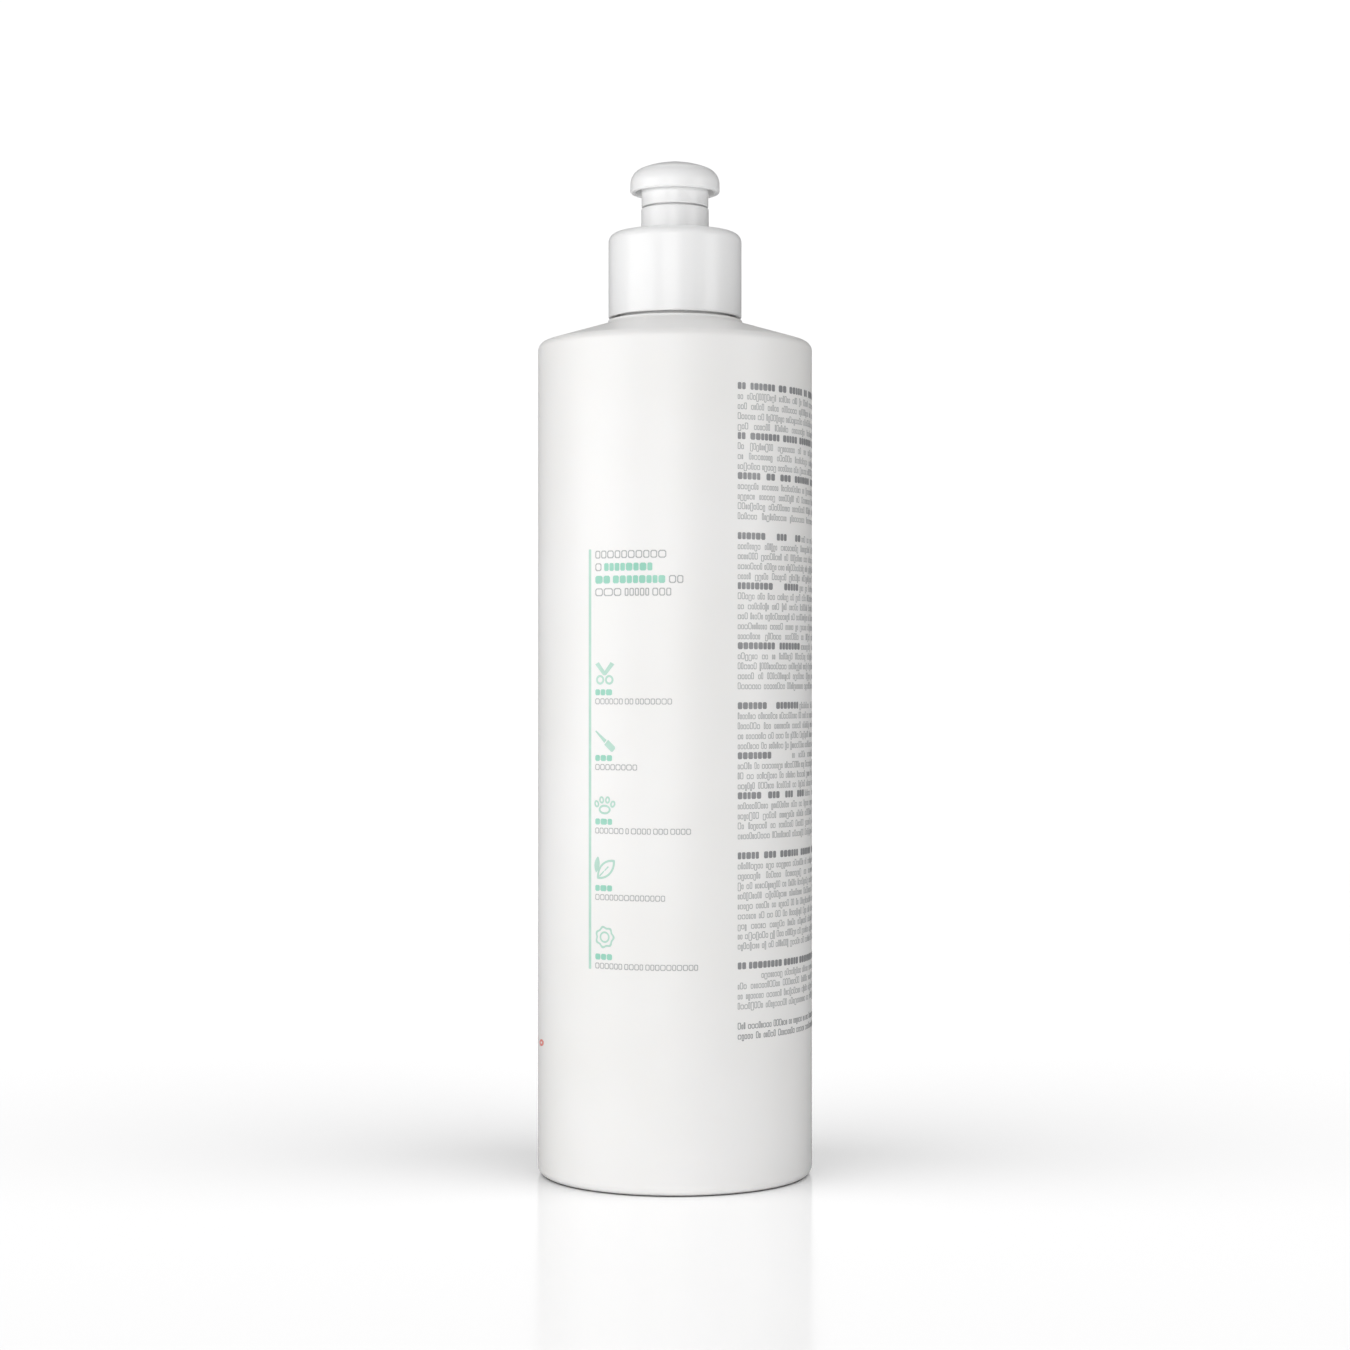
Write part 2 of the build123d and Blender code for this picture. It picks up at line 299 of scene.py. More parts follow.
def spinProfile(corners, columns):
    # corners are (radius, height, rounding); drawn as a wire, rounded, then spun round the axis
    bpy.ops.object.select_all(action="DESELECT")
    bpy.ops.mesh.primitive_plane_add(size=mm)
    piece = bpy.context.object
    openForEdit(piece)
    bpy.ops.mesh.select_all(action="SELECT")
    bpy.ops.mesh.merge(type="CENTER")
    bpy.ops.transform.translate(value=(corners[0][0], 0, corners[0][1]))
    for (r0, z0, _), (r1, z1, _) in zip(corners, corners[1:]):
        bpy.ops.mesh.extrude_region_move(TRANSFORM_OT_translate={"value": (r1 - r0, 0, z1 - z0)})
    for before, corner, after in zip(corners, corners[1:], corners[2:]):
        if corner[2] == 0:
            continue
        here = Vector((corner[0], 0, corner[1]))
        come = here - Vector((before[0], 0, before[1]))
        go = Vector((after[0], 0, after[1])) - here
        turn = come.angle(go)
        pick(piece, lambda v: (v.co - here).length < 0.001 * mm)
        reach = corner[2] * tan(turn / 2)
        bpy.ops.mesh.bevel(offset=reach, segments=max(3, round(turn * 6)), affect="VERTICES")
    bpy.ops.mesh.select_all(action="SELECT")
    bpy.ops.mesh.spin(steps=columns, angle=2 * pi, center=(0, 0, 0), axis=(0, 0, 1))
    bpy.ops.mesh.select_all(action="SELECT")
    bpy.ops.mesh.remove_doubles(threshold=0.002 * mm)
    bpy.ops.mesh.normals_make_consistent(inside=False)
    closeEdit()
    return piece


def makeShell():
    shape = bottleShape
    inner = wallRadius - shape["wall"]
    shoulderWall = shape["wall"] / cos(shape["shoulderSlope"])
    outside = [
        (0, shape["pushUpCentre"], 0),
        (shape["pushUpRadius"], shape["pushUpRim"], shape["pushUpFillet"]),
        (shape["ringInner"], 0, shape["ringFillet"]),
        (wallRadius, 0, shape["heel"]),
        (wallRadius, shoulderHeight(wallRadius), shape["shoulderCorner"]),
        (shape["landRadius"], shoulderHeight(shape["landRadius"]), shape["landFillet"]),
        (shape["landRadius"], shape["landHeight"], shape["landEdge"]),
        (shape["neckRadius"], shape["landHeight"], shape["neckFillet"]),
        (shape["neckRadius"], neckTop, shape["rimOuter"]),
    ]
    inside = [
        (shape["boreRadius"], neckTop, shape["rimInner"]),
        (shape["boreRadius"], shoulderHeight(shape["boreRadius"]) - shoulderWall, shape["boreFillet"]),
        (inner, shoulderHeight(inner) - shoulderWall, shape["shoulderInside"]),
        (inner, shape["footThickness"], shape["heelInside"]),
        (shape["ringInner"], shape["footThickness"], shape["ringFillet"]),
        (shape["pushUpRadius"], shape["pushUpRim"] + shape["footThickness"], shape["pushUpFillet"]),
        (0, shape["pushUpCentre"] + shape["footThickness"], 0),
    ]
    return spinProfile(outside + inside, shape["columns"])


def raisePartingLine(piece):
    # the mould's halves meet on the plane through X and leave a hair-fine ridge up both sides
    shape = bottleShape

    def onOutside(vertex):
        radius, height = abs(vertex.co.x), vertex.co.z
        if abs(vertex.co.y) > 0.001 * mm:
            return False
        onWall = radius > wallRadius - 0.3 * mm
        clearOfLand = radius > shape["landRadius"] + mm
        return onWall or (clearOfLand and height > shoulderHeight(radius) - 0.6 * mm)

    openForEdit(piece)
    pick(piece, lambda edge: all(onOutside(vertex) for vertex in edge.verts), "EDGE")
    bpy.ops.mesh.bevel(offset=shape["partingWidth"] / 2, segments=2, affect="EDGES")
    pick(piece, onOutside)
    bpy.ops.transform.shrink_fatten(value=shape["partingRise"])
    closeEdit()


def makePinchLine():
    # weld line where the mould pinched the tube shut: a low bar that follows the hollow foot
    shape = bottleShape
    slope = (shape["pushUpCentre"] - shape["pushUpRim"]) / shape["pushUpRadius"]
    height = shape["pinchDepth"] + shape["footThickness"] / 2
    bpy.ops.object.select_all(action="DESELECT")
    bpy.ops.mesh.primitive_cube_add(size=1)
    piece = bpy.context.object
    piece.scale = (shape["pinchLength"], shape["pinchWidth"], height)
    piece.location = (0, 0, shape["pushUpCentre"] - shape["pinchDepth"] + height / 2)
    bpy.ops.object.transform_apply(location=True, rotation=True, scale=True)
    openForEdit(piece)
    bpy.ops.mesh.select_all(action="SELECT")
    bpy.ops.mesh.bisect(plane_co=(0, 0, 0), plane_no=(1, 0, 0))
    pick(piece, lambda vertex: abs(vertex.co.x) > mm)
    bpy.ops.transform.translate(value=(0, 0, -slope * shape["pinchLength"] / 2))
    closeEdit()
    return piece


threadShape = {
    "crest": 13.65 * mm,
    "sink": 0.4 * mm,                # how deep the root is buried in the neck
    "rootWidth": 2.3 * mm,
    "crestWidth": 0.9 * mm,
    "drop": 1.2 * mm,                # rim down to the thread
    "pitch": 25.4 * mm / 6,
    "turns": 1.5,
    "fade": 0.16,                    # turns over which each end sinks into the neck
    "stepsPerTurn": 48,
}


def makeThread():
    # one flat section of the thread, narrowed at its crest, then screwed up the neck
    shape = threadShape
    root = bottleShape["neckRadius"] - shape["sink"]
    rise = shape["pitch"] * shape["turns"]
    start = neckTop - shape["drop"] - shape["rootWidth"] / 2 - rise
    middle = (root + shape["crest"]) / 2
    bpy.ops.object.select_all(action="DESELECT")
    bpy.ops.mesh.primitive_plane_add(size=1, location=(middle, 0, start), rotation=(pi / 2, 0, 0))
    piece = bpy.context.object
    piece.scale = (shape["crest"] - root, shape["rootWidth"], 1)
    bpy.ops.object.transform_apply(location=True, rotation=True, scale=True)
    openForEdit(piece)
    pick(piece, lambda v: v.co.x > middle)
    narrowing = shape["crestWidth"] / shape["rootWidth"]
    bpy.ops.transform.resize(value=(1, 1, narrowing), center_override=(middle, 0, start))
    bpy.ops.mesh.select_all(action="SELECT")
    bpy.ops.mesh.delete(type="ONLY_FACE")
    closeEdit()
    steps = round(shape["turns"] * shape["stepsPerTurn"])
    applyModifier(piece, "SCREW", {
        "axis": "Z", "angle": 2 * pi * shape["turns"], "screw_offset": rise,
        "steps": steps, "render_steps": steps,
    })
    # the crest sinks back into the neck at both ends
    sunk = bottleShape["neckRadius"] - shape["sink"] / 2
    for vertex in piece.data.vertices:
        radius = hypot(vertex.co.x, vertex.co.y)
        if radius < middle:
            continue
        around = Vector((vertex.co.x, vertex.co.y)).angle_signed(Vector((1, 0))) / (2 * pi) % 1
        whole = round((vertex.co.z - start) / shape["pitch"] - around)
        turn = around + whole
        runOut = max(0, min(1, turn / shape["fade"], (shape["turns"] - turn) / shape["fade"]))
        swell = (1 - cos(pi * runOut)) / 2
        wantedRadius = sunk + (shape["crest"] - sunk) * swell
        vertex.co.x *= wantedRadius / radius
        vertex.co.y *= wantedRadius / radius
    openForEdit(piece)
    bpy.ops.mesh.select_all(action="SELECT")
    bpy.ops.mesh.fill_holes(sides=4)
    bpy.ops.mesh.select_all(action="SELECT")
    bpy.ops.mesh.normals_make_consistent(inside=False)
    closeEdit()
    return piece


def joinSolid(piece, tool):
    # the tool becomes part of the piece's own skin
    applyModifier(piece, "BOOLEAN", {"operation": "UNION", "object": tool, "solver": "EXACT"})
    bpy.data.objects.remove(tool)


bottleShell = makeShell()
raisePartingLine(bottleShell)
joinSolid(bottleShell, makeThread())
joinSolid(bottleShell, makePinchLine())
finishPiece(bottleShell, "bottle_shell", bottlePlastic, "bottle")
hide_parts("bottle")
print("bottle spun and threaded:", len(bottleShell.data.polygons), "faces")


# artwork is laid out flat: X is the distance along the wall from the line that faces -Y, Z is the
# height on the bottle; it gets the ink's thickness and is then bent round the wall; nothing in it
# can be read: letters are plain blocks, pictograms are simple shapes
inkFilm = {"sunk": 0.004 * mm, "proud": 0.018 * mm}
dice = random.Random(28)


def alongWall(degrees):
    # distance along the wall to an angle, counted from -Y towards +X
    return radians(degrees) * wallRadius


def flatPiece(points, faces):
    # there are thousands of blocks, so they are given by their corners
    mesh = bpy.data.meshes.new("artwork")
    mesh.from_pydata([(x, 0, z) for x, z in points], [], faces)
    piece = bpy.data.objects.new("artwork", mesh)
    bpy.context.scene.collection.objects.link(piece)
    return piece


def softCorners(x, z, width, height):
    # the outline of one block, anticlockwise, with its corners cut
    corner = 0.2 * min(width, height)
    left, right, low, high = x - width / 2, x + width / 2, z - height / 2, z + height / 2
    lower = [(left + corner, low), (right - corner, low), (right, low + corner), (right, high - corner)]
    upper = [(right - corner, high), (left + corner, high), (left, high - corner), (left, low + corner)]
    return lower + upper


def blockPiece(blocks, stroke=0):
    # blocks of (middle x, middle z, width, height), inked all over or, with a stroke, round their edge
    points, faces = [], []
    for x, z, width, height in blocks:
        first = len(points)
        points += softCorners(x, z, width, height)
        if stroke:
            points += softCorners(x, z, width - 2 * stroke, height - 2 * stroke)
            for i in range(8):
                after = (i + 1) % 8
                faces.append((first + i, first + after, first + 8 + after, first + 8 + i))
        else:
            faces.append(range(first, first + 8))
    return flatPiece(points, faces)


def bandPiece(outer, inner):
    # the band of ink between two outlines with as many points each
    count = len(outer)
    faces = [(i, (i + 1) % count, count + (i + 1) % count, count + i) for i in range(count)]
    return flatPiece(list(outer) + list(inner), faces)


def outlinePiece(points, stroke):
    # a closed shape with only its outline inked: it is drawn again, smaller, and the middle left out
    middle = Vector((sum(x for x, z in points), sum(z for x, z in points))) / len(points)
    reach = max((Vector(point) - middle).length for point in points)
    shrink = 1 - stroke / reach
    return bandPiece(points, [tuple(middle + (Vector(point) - middle) * shrink) for point in points])


def sliceAcross(piece, step):
    # cuts wide shapes into strips, so that they can bend
    xs = [vertex.co.x for vertex in piece.data.vertices]
    openForEdit(piece)
    x = min(xs) + step
    while x < max(xs):
        bpy.ops.mesh.select_all(action="SELECT")
        bpy.ops.mesh.bisect(plane_co=(x, 0, 0), plane_no=(1, 0, 0))
        x += step
    closeEdit()


def circlePoints(x, z, radius, count):
    turns = [2 * pi * i / count for i in range(count)]
    return [(x + radius * cos(t), z + radius * sin(t)) for t in turns]


def ovalPoints(wide, tall):
    return [(wide * px, tall * pz) for px, pz in circlePoints(0, 0, 1, 32)]


def tilted(points, x, z, degrees):
    # turns a shape drawn round the origin and puts it at x, z
    c, d = cos(radians(degrees)), sin(radians(degrees))
    return [(x + c * px - d * pz, z + d * px + c * pz) for px, pz in points]


def inkPiece(name, parts, ink):
    # joins flat parts, gives them the film's thickness and bends them round the wall
    bpy.ops.object.select_all(action="DESELECT")
    for part in parts:
        part.select_set(True)
    piece = parts[0]
    bpy.context.view_layer.objects.active = piece
    if len(parts) > 1:
        bpy.ops.object.join()
    applyModifier(piece, "SOLIDIFY", {"thickness": inkFilm["sunk"] + inkFilm["proud"], "offset": 1})
    for vertex in piece.data.vertices:
        radius = wallRadius - inkFilm["sunk"] - vertex.co.y
        angle = vertex.co.x / wallRadius
        vertex.co.x = radius * sin(angle)
        vertex.co.y = -radius * cos(angle)
    openForEdit(piece)
    bpy.ops.mesh.select_all(action="SELECT")
    bpy.ops.mesh.normals_make_consistent(inside=False)
    closeEdit()
    return finishPiece(piece, name, ink, "bottle")


# type faces as blocks: heights of small and tall letters, tails, widths, spacing and word lengths
smallType = {
    "small": 1.02 * mm, "tall": 1.46 * mm, "tail": 0.40 * mm, "width": (0.38 * mm, 0.86 * mm),
    "gap": 0.15 * mm, "space": 0.66 * mm, "words": (2, 2, 3, 5, 6, 7, 8, 9, 11),
}
boldCaps = {
    "small": 1.50 * mm, "tall": 1.50 * mm, "tail": 0, "width": (0.80 * mm, 1.30 * mm),
    "gap": 0.18 * mm, "space": 0.75 * mm, "words": (2, 3, 5, 6, 7, 8),
}
thinStroke = {"claim": 0.23 * mm, "caption": 0.17 * mm, "text": 0.155 * mm}
letterOdds = {"tall": 0.3, "tailed": 0.1}
capitals = {"gap": 0.13, "widths": (0.8, 1.2)}     # gap as a share of the height, widths of each other


def typeLine(face, left, right, base):
    # fills a line with words and spreads them to both margins
    words = []
    used = 0
    while True:
        widths = [dice.uniform(*face["width"]) for _ in range(dice.choice(face["words"]))]
        length = sum(widths) + face["gap"] * (len(widths) - 1)
        if used + length > right - left:
            break
        words.append(widths)
        used += length + face["space"]
    if not words:
        return []
    spread = face["space"] + (right - left - used + face["space"]) / max(1, len(words) - 1)
    blocks = []
    x = left
    for widths in words:
        for width in widths:
            top = face["tall"] if dice.random() < letterOdds["tall"] else face["small"]
            bottom = -face["tail"] if dice.random() < letterOdds["tailed"] else 0
            blocks.append((x + width / 2, base + (top + bottom) / 2, width, top - bottom))
            x += width + face["gap"]
        x += spread - face["gap"]
    return blocks


def word(left, right, base, height, letters):
    # one word of capitals that fills its width exactly
    shares = [dice.uniform(*capitals["widths"]) for _ in range(letters)]
    gap = capitals["gap"] * height
    scale = (right - left - gap * (letters - 1)) / sum(shares)
    blocks = []
    x = left
    for share in shares:
        width = share * scale
        blocks.append((x + width / 2, base + height / 2, width, height))
        x += width + gap
    return blocks


sidePanel = {
    "ruleAt": -19.80 * mm, "ruleWidth": 0.66 * mm, "ruleBottom": 48.6 * mm, "ruleTop": 139.8 * mm,
    "left": -18.34 * mm,
    "claimBase": 137.75 * mm, "claimPitch": 2.72 * mm, "claimHeight": 1.70 * mm,
    # words of the claim: line, start and end in mm, letters, and whether it is picked out in green
    "claim": (
        (0, -18.34, -1.87, 10, False),
        (1, -18.34, -16.75, 1, False), (1, -16.05, -4.90, 8, True),
        (2, -18.34, -14.60, 2, True), (2, -13.90, -2.10, 8, True), (2, -1.30, 1.80, 2, False),
        (3, -18.34, -11.90, 3, False), (3, -11.10, -5.60, 5, False), (3, -4.90, -0.80, 3, False),
    ),
    "iconMiddle": -15.95 * mm, "iconHeights": (112.8 * mm, 98.3 * mm, 84.3 * mm, 70.4 * mm, 55.7 * mm),
    "wordDrop": 4.75 * mm, "wordRight": -14.1 * mm, "wordHeight": 1.30 * mm,
    "captionDrop": 6.70 * mm, "captionHeight": 1.28 * mm,
    # captions: where each ends, in mm, and the letters of its words
    "captions": (
        (-0.15, (6, 2, 7)), (-7.78, (8,)), (3.95, (6, 1, 4, 3, 4)), (-1.64, (14,)), (5.48, (6, 4, 10)),
    ),
    "lifts": (0.05 * mm, 0.30 * mm, 0.52 * mm, 0.0, -0.18 * mm),     # of the words under each pictogram
    "captionGap": 0.5 * mm,
}


def claimWords():
    # four short lines beside the top of the rule
    side = sidePanel
    grey, green = [], []
    for line, start, end, letters, picked in side["claim"]:
        base = side["claimBase"] - line * side["claimPitch"]
        blocks = word(start * mm, end * mm, base, side["claimHeight"], letters)
        if picked:
            green += blocks
        else:
            grey += blocks
    return grey, green


def dropPoints(x, z, radius):
    # round below, drawn up to a point
    points = []
    for i in range(48):
        t = 2 * pi * i / 48
        lift = max(0, sin(t)) ** 3
        across, up = cos(t) * (1 - 0.25 * lift), sin(t) + 0.75 * lift - 0.35
        points.append((x + radius * across, z + radius * up))
    return points


def leafPoints(length, width):
    # pointed at both ends
    points = []
    for i in range(40):
        t = 2 * pi * i / 40
        points.append((length / 2 * cos(t), width / 2 * sin(t) * abs(sin(t)) ** 0.6))
    return points


def petalPoints(radius, wave):
    # a round shape with seven shallow lobes
    points = []
    for i in range(70):
        t = 2 * pi * i / 70
        reach = radius + wave * cos(7 * t)
        points.append((reach * cos(t), reach * sin(t)))
    return points


# pictograms: corners in mm from the middle of each, radii and places likewise
iconShapes = {
    "blades": [(-0.35, -0.35), (0.35, -0.35), (2.4, 2.0), (1.5, 2.5), (0, 0.55), (-1.5, 2.5),
               (-2.4, 2.0)],
    "loop": (1.05, 0.58), "loopsAt": ((-1.15, -1.35), (1.15, -1.35)),
    "handle": [(-3.1, -0.16), (0.3, -0.42), (0.3, 0.42), (-3.1, 0.16)],
    "bristles": [(0.55, -0.72), (2.8, -0.72), (3.1, -0.4), (3.1, 0.4), (2.8, 0.72), (0.55, 0.72)],
    "brushTurn": -42,
    "toe": ((0.62, 0.80), (0.24, 0.40)), "toeTurn": -9,
    "toesAt": ((-2.02, 0.25), (-0.74, 1.12), (0.74, 1.12), (2.02, 0.25)),
    "pad": ((1.5, 1.05), (1.05, 0.6)), "padAt": (0, -0.95),
    "bigLeaf": ((6.0, 3.1), (4.7, 2.2)), "bigLeafAt": (0.3, 0), "bigLeafTurn": 43,
    "vein": [(-2.2, -0.15), (0.9, -0.15), (0.9, 0.15), (-2.2, 0.15)],
    "smallLeaf": (3.5, 1.35), "smallLeafAt": (-1.95, 1.0), "smallLeafTurn": 82,
    "petals": ((2.3, 0.18), (1.85, 0.14)), "core": (1.25, 0.85),
    "slice": 0.4 * mm,
}


def pictograms():
    # plain ones: scissors, brush, paw, leaves, flower
    icon = iconShapes
    middle = sidePanel["iconMiddle"]
    scissors, brush, paw, leaves, flower = sidePanel["iconHeights"]

    def put(points, height, place=(0, 0), degrees=0):
        # a shape in mm, set on the wall
        scaled = [(px * mm, pz * mm) for px, pz in points]
        return tilted(scaled, middle + place[0] * mm, height + place[1] * mm, degrees)

    def solid(points, height, degrees):
        piece = flatPiece(put(points, height, (0, 0), degrees), [range(len(points))])
        sliceAcross(piece, icon["slice"])
        return piece

    def ring(outer, inner, height, place=(0, 0), degrees=0):
        return bandPiece(put(outer, height, place, degrees), put(inner, height, place, degrees))

    toeOuter, toeInner = [ovalPoints(*size) for size in icon["toe"]]
    toes = [ring(toeOuter, toeInner, paw, at, icon["toeTurn"] * at[0]) for at in icon["toesAt"]]
    padOuter, padInner = [ovalPoints(*size) for size in icon["pad"]]
    pad = ring(padOuter, padInner, paw, icon["padAt"])
    loopOuter, loopInner = [ovalPoints(radius, radius) for radius in icon["loop"]]
    coreOuter, coreInner = [ovalPoints(radius, radius) for radius in icon["core"]]
    leafOuter, leafInner = [leafPoints(*size) for size in icon["bigLeaf"]]
    bigLeaf = ring(leafOuter, leafInner, leaves, icon["bigLeafAt"], icon["bigLeafTurn"])
    vein = flatPiece(put(icon["vein"], leaves, icon["bigLeafAt"], icon["bigLeafTurn"]), [range(4)])
    smallLeaf = put(leafPoints(*icon["smallLeaf"]), leaves, icon["smallLeafAt"], icon["smallLeafTurn"])
    petals = [petalPoints(*size) for size in icon["petals"]]
    return {
        "side_scissors": [solid(icon["blades"], scissors, 0)]
                         + [ring(loopOuter, loopInner, scissors, at) for at in icon["loopsAt"]],
        "side_brush": [solid(icon["handle"], brush, icon["brushTurn"]),
                       solid(icon["bristles"], brush, icon["brushTurn"])],
        "side_paw": toes + [pad],
        "side_leaves": [bigLeaf, vein, flatPiece(smallLeaf, [range(len(smallLeaf))])],
        "side_flower": [ring(petals[0], petals[1], flower), ring(coreOuter, coreInner, flower)],
    }


def printSide():
    side = sidePanel
    ruleHeight = side["ruleTop"] - side["ruleBottom"]
    ruleMiddle = side["ruleBottom"] + ruleHeight / 2
    rule = (side["ruleAt"], ruleMiddle, side["ruleWidth"], ruleHeight)
    inkPiece("side_rule", [blockPiece([rule])], paleMintInk)
    grey, green = claimWords()
    captions = []
    for icon, lift, (end, letters) in zip(side["iconHeights"], side["lifts"], side["captions"]):
        height = icon + lift
        green += word(side["left"], side["wordRight"], height - side["wordDrop"], side["wordHeight"], 3)
        room = (end * mm - side["left"]) / sum(letters)
        base = height - side["captionDrop"]
        x = side["left"]
        for count in letters:
            right = x + room * count - side["captionGap"]
            captions += word(x, right, base, side["captionHeight"], count)
            x += room * count
    inkPiece("side_words_green", [blockPiece(green)], mintInk)
    inkPiece("side_words_grey", [blockPiece(grey, thinStroke["claim"])], greyInk)
    inkPiece("side_captions", [blockPiece(captions, thinStroke["caption"])], greyInk)
    for name, parts in pictograms().items():
        inkPiece(name, parts, paleMintInk)


backPanel = {
    "left": 26.0, "right": 131.0,    # degrees round the bottle
    "top": 174.4 * mm, "pitch": 2.166 * mm,
    # paragraphs: how many lines, and how many mm the bold opening runs; a blank line between groups
    "groups": (
        ((5, 99), (4, 99), (5, 99)),
        ((5, 20.3), (6, 19.2), (5, 20.0)),
        ((5, 19.2), (4, 15.8), (5, 22.4)),
        ((10, 99),),
        ((1, 99), (4, 5.5)),
        ((2, 0),),
    ),
    "shortest": 4 * mm,              # room that is left empty after a bold opening
}


def printBack():
    back = backPanel
    left, right = alongWall(back["left"]), alongWall(back["right"])
    base = back["top"]
    for number, group in enumerate(back["groups"], 1):
        plain, bold = [], []
        for lines, boldRun in group:
            for line in range(lines):
                start = left
                if line == 0 and boldRun:
                    end = min(left + boldRun * mm, right)
                    bold += typeLine(boldCaps, left, end, base)
                    start = end + smallType["space"]
                if right - start > back["shortest"]:
                    plain += typeLine(smallType, start, right, base)
                base -= back["pitch"]
        base -= back["pitch"]
        ink = greyInk if bold else charcoalInk
        inkPiece("back_text_%d" % number, [blockPiece(plain, thinStroke["text"])], ink)
        if bold:
            inkPiece("back_heading_%d" % number, [blockPiece(bold)], charcoalInk)


frontPanel = {
    "middle": -135.0,                # degrees round the bottle
    "emblemHeight": 142 * mm, "emblemRadius": 13.5 * mm, "emblemStroke": 0.9 * mm,
    "dropRadius": 5.6 * mm, "dropStroke": 0.75 * mm,
    "dotsAt": ((-2.6 * mm, -9.132 * mm), (0, -9.6 * mm), (2.6 * mm, -9.132 * mm)),
    "dotRadius": 0.62 * mm, "dotStroke": 0.3 * mm,
    "nameBase": 108 * mm, "nameHeight": 5.4 * mm, "nameWidth": 44 * mm, "nameStroke": 0.85 * mm,
    "nameSlice": 1 * mm,
    "lineBase": 100.5 * mm, "lineHeight": 2.3 * mm, "lineWidth": 33 * mm, "lineSplit": (-0.15, -0.05),
    "ruleAt": 96 * mm, "ruleWidth": 44 * mm, "ruleTall": 0.4 * mm, "ruleDashes": 48, "ruleInked": 0.7,
    "smallLines": (91.5 * mm, 88.6 * mm, 85.7 * mm), "smallWidth": 38 * mm,
    "footBase": 29.6 * mm, "footIndent": 14 * mm,
    "footRight": -86.0, "markAt": -74.6,                # degrees too
    "markWide": 2.1 * mm, "markTall": 0.75 * mm, "markHole": 0.4, "markTurn": 7,
}


def printEmblem(x):
    # a drop over three dots, in a ring
    front = frontPanel
    z = front["emblemHeight"]
    ring = outlinePiece(circlePoints(x, z, front["emblemRadius"], 96), front["emblemStroke"])
    drop = outlinePiece(dropPoints(x, z, front["dropRadius"]), front["dropStroke"])
    dots = [outlinePiece(circlePoints(x + dx, z + dz, front["dotRadius"], 20), front["dotStroke"])
            for dx, dz in front["dotsAt"]]
    inkPiece("front_emblem", [ring, drop] + dots, mintInk)


def printFoot(x):
    # a line of small capitals, and a ring round the corner from it
    front = frontPanel
    right = alongWall(front["footRight"])
    foot = typeLine(boldCaps, 2 * x - right + front["footIndent"], right, front["footBase"])
    inkPiece("front_foot", [blockPiece(foot)], coralInk)
    wide, tall, hole = front["markWide"], front["markTall"], front["markHole"]
    place = (alongWall(front["markAt"]), front["footBase"] + boldCaps["tall"] / 2, front["markTurn"])
    outer = tilted(ovalPoints(wide, tall), *place)
    inner = tilted(ovalPoints(hole * wide, hole * tall), *place)
    inkPiece("front_foot_ring", [bandPiece(outer, inner)], coralInk)


def printFront():
    front = frontPanel
    x = alongWall(front["middle"])
    printEmblem(x)
    half = front["nameWidth"] / 2
    letters = word(x - half, x + half, front["nameBase"], front["nameHeight"], 8)
    name = blockPiece(letters, front["nameStroke"])
    sliceAcross(name, front["nameSlice"])
    inkPiece("front_name", [name], charcoalInk)
    half = front["lineWidth"] / 2
    before, after = front["lineSplit"]
    lines = word(x - half, x + before * half, front["lineBase"], front["lineHeight"], 7)
    lines += word(x + after * half, x + half, front["lineBase"], front["lineHeight"], 8)
    for base in front["smallLines"]:
        half = front["smallWidth"] / 2 * dice.uniform(0.8, 1)
        lines += typeLine(smallType, x - half, x + half, base)
    inkPiece("front_lines", [blockPiece(lines, thinStroke["text"])], greyInk)
    count = front["ruleDashes"]
    step = front["ruleWidth"] / count
    middles = [x - front["ruleWidth"] / 2 + (i + 0.5) * step for i in range(count)]
    dashes = [(at, front["ruleAt"], front["ruleInked"] * step, front["ruleTall"]) for at in middles]
    inkPiece("front_rule", [blockPiece(dashes)], paleMintInk)
    printFoot(x)


printSide()
printBack()
printFront()
print("print laid on the wall")


# closure, spout and liner keep their CAD meshes
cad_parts["closure_base"].material_slots[0].material = closurePlastic
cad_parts["pull_spout"].material_slots[0].material = closurePlastic
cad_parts["sealing_liner"].material_slots[0].material = linerFoam
print("closure, spout and liner dressed")


studio = {
    "floorSize": 11.0, "floorGrey": "#909090", "floorRoughness": 0.14, "floorGloss": 0.12,
    "domeRadius": 5.0, "domeSeen": 1.04, "domeLight": 0.28,
    "distance": 622.5 * mm, "height": 112.5 * mm, "lens": 73.3,
}
# soft boxes light all but the floor; the last only lifts the far side and isn't mirrored
softboxes = {                        # places and sizes in metres
    "key_left": {"place": (-0.98, -0.54, 0.25), "size": (1.1, 0.48), "power": 5.25, "mirrored": True},
    "fill_right": {"place": (1.12, -0.52, 0.25), "size": (0.5, 0.48), "power": 2.5, "mirrored": True},
    "front": {"place": (-0.18, -1.38, 0.26), "size": (0.70, 0.5), "power": 4.5, "mirrored": True},
    "back": {"place": (0.25, 1.35, 0.26), "size": (0.70, 0.5), "power": 3.2, "mirrored": False},
}
# overhead cloths: those for the floor alone make its white and the soft shadows beside the bottle
cloths = {
    "overhead": {"from": (0, 0, 1), "strength": 2.25, "spread": 90, "floor": False},
    "floor_left": {"from": (-0.42, -0.30, 0.80), "strength": 6.15, "spread": 50, "floor": True},
    "floor_right": {"from": (0.42, -0.30, 0.80), "strength": 6.15, "spread": 50, "floor": True},
    "floor_wide": {"from": (0, 0, 1), "strength": 1.2, "spread": 150, "floor": True},
}


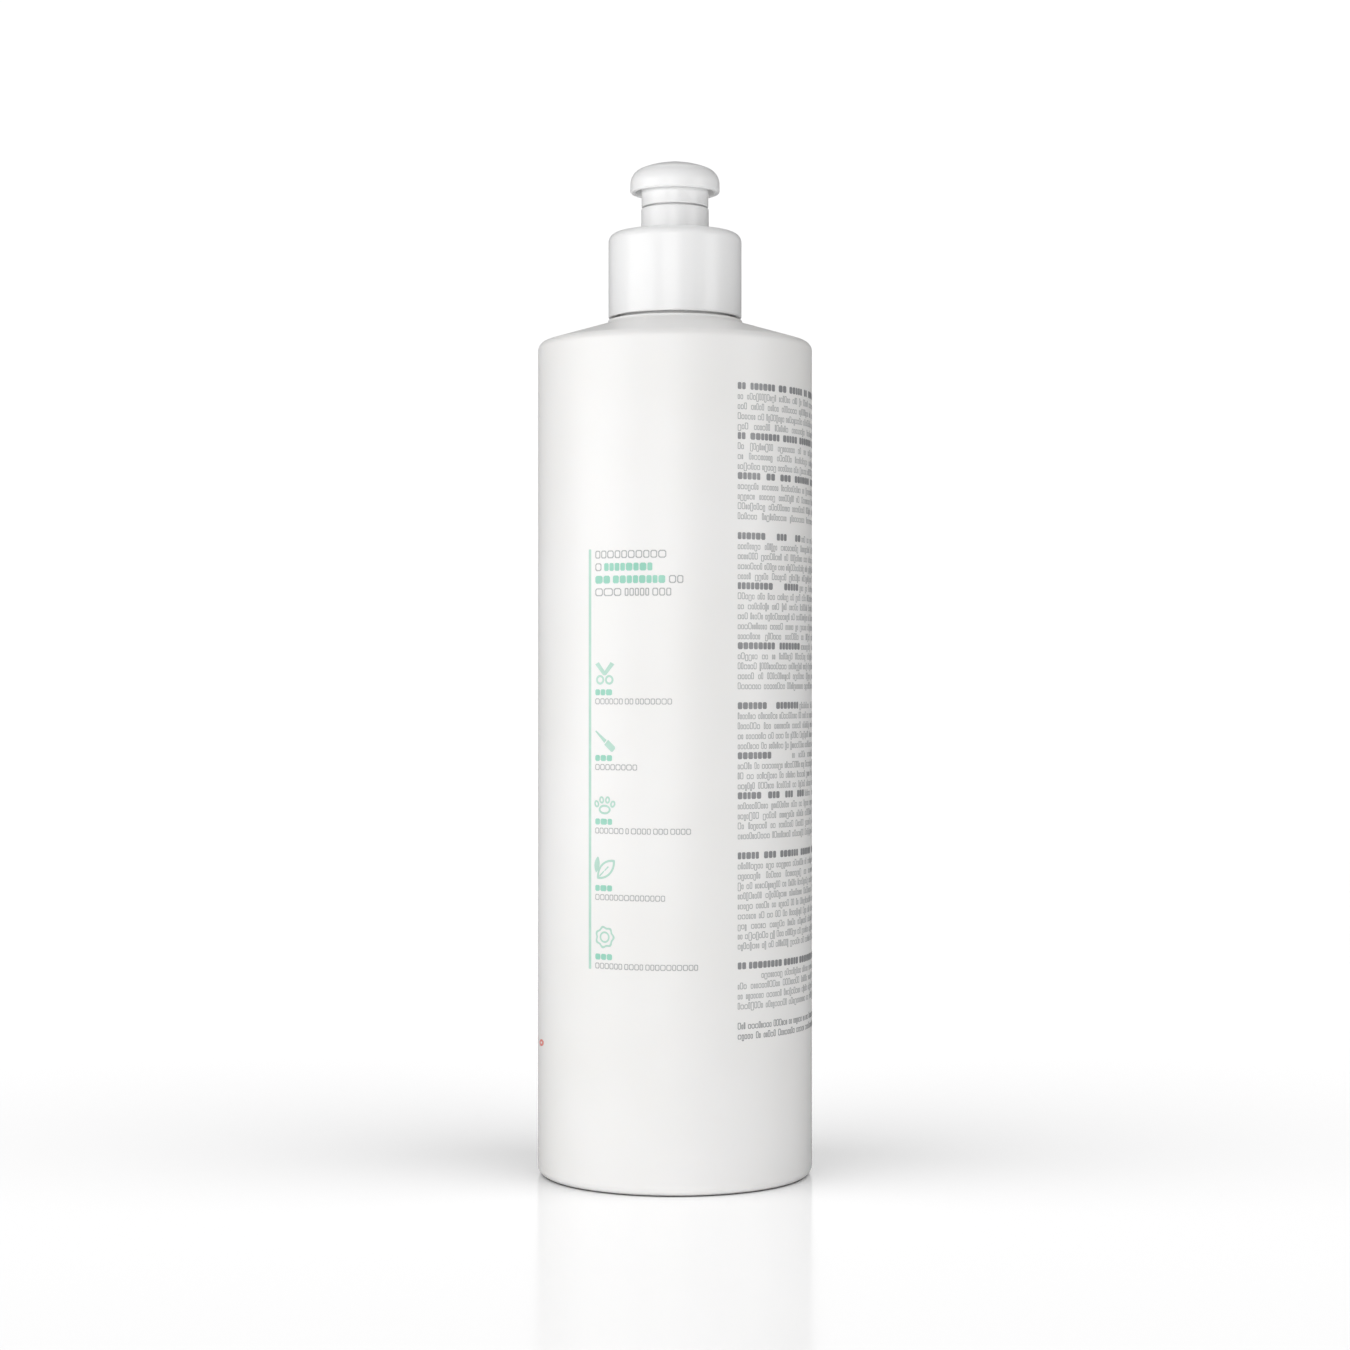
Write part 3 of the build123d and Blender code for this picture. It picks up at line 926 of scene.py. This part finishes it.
def makeFloor():
    # acrylic sheet, cast: a grey that its own cloths light to white, with a faint mirror image in it
    material = startMaterial("Acrylic sheet cast", {
        "Base Color": linearColour(studio["floorGrey"]), "Roughness": studio["floorRoughness"],
        "IOR": 1.49, "Specular IOR Level": studio["floorGloss"],
    })[0]
    bpy.ops.object.select_all(action="DESELECT")
    bpy.ops.mesh.primitive_plane_add(size=studio["floorSize"], location=(0, 0, 0))
    floor = bpy.context.object
    floor.name = "floor"
    floor.data.materials.append(material)
    floor.visible_glossy = False     # the bottle doesn't mirror it, which keeps its edges grey
    return floor


def linkLight(light, floor, onlyFloor):
    # lights either the floor alone, or everything but the floor
    lit = bpy.data.collections.new(light.name + " lights")
    lit.objects.link(floor)
    light.light_linking.receiver_collection = lit
    if not onlyFloor:
        lit.collection_objects[0].light_linking.link_state = "EXCLUDE"


def makeDome(floor):
    # a white cloth dome round it all, which the floor mirrors and the bottle doesn't, so that the
    # bottle keeps its soft grey edges against the white
    material = bpy.data.materials.new("Cloth lit white")
    material.use_nodes = True
    material.cycles.emission_sampling = "NONE"
    tree = material.node_tree
    tree.nodes.clear()
    ray = addNode(tree, "ShaderNodeLightPath", {}, {})
    level = addNode(tree, "ShaderNodeMapRange",
                    {"To Min": studio["domeSeen"], "To Max": studio["domeLight"]},
                    {"Value": ray.outputs["Is Diffuse Ray"]})
    glow = addNode(tree, "ShaderNodeEmission", {}, {"Strength": level.outputs["Result"]})
    addNode(tree, "ShaderNodeOutputMaterial", {}, {"Surface": glow.outputs["Emission"]})
    bpy.ops.object.select_all(action="DESELECT")
    bpy.ops.mesh.primitive_uv_sphere_add(segments=48, ring_count=24, radius=studio["domeRadius"])
    dome = bpy.context.object
    dome.name = "dome"
    dome.visible_shadow = False      # the overhead light comes from outside it
    dome.data.materials.append(material)
    linkLight(dome, floor, True)


def makeLights(floor):
    middle = Vector((0, 0, (cadLow.z + cadHigh.z) / 2))
    for name, box in softboxes.items():
        bpy.ops.object.light_add(type="AREA", location=box["place"])
        light = bpy.context.object
        light.name = name
        light.rotation_euler = (middle - light.location).to_track_quat("-Z", "Y").to_euler()
        light.visible_camera = False
        light.data.shape = "RECTANGLE"
        light.data.size, light.data.size_y = box["size"]
        light.data.energy = box["power"]
        light.visible_glossy = box["mirrored"]
        linkLight(light, floor, False)
    for name, cloth in cloths.items():
        bpy.ops.object.light_add(type="SUN", location=cloth["from"])
        light = bpy.context.object
        light.name = name
        light.rotation_euler = (-light.location).to_track_quat("-Z", "Y").to_euler()
        light.data.energy = cloth["strength"]
        light.data.angle = radians(cloth["spread"])
        linkLight(light, floor, cloth["floor"])


def makeCamera():
    place = (0, -studio["distance"], studio["height"])
    bpy.ops.object.camera_add(location=place, rotation=(pi / 2, 0, 0))
    camera = bpy.context.object
    camera.data.sensor_width = 36
    camera.data.lens = studio["lens"]
    camera.data.clip_end = 2 * studio["domeRadius"]
    bpy.context.scene.camera = camera


floor = makeFloor()
makeDome(floor)
makeLights(floor)
makeCamera()
bpy.context.scene.view_settings.view_transform = "Standard"
print("studio ready")
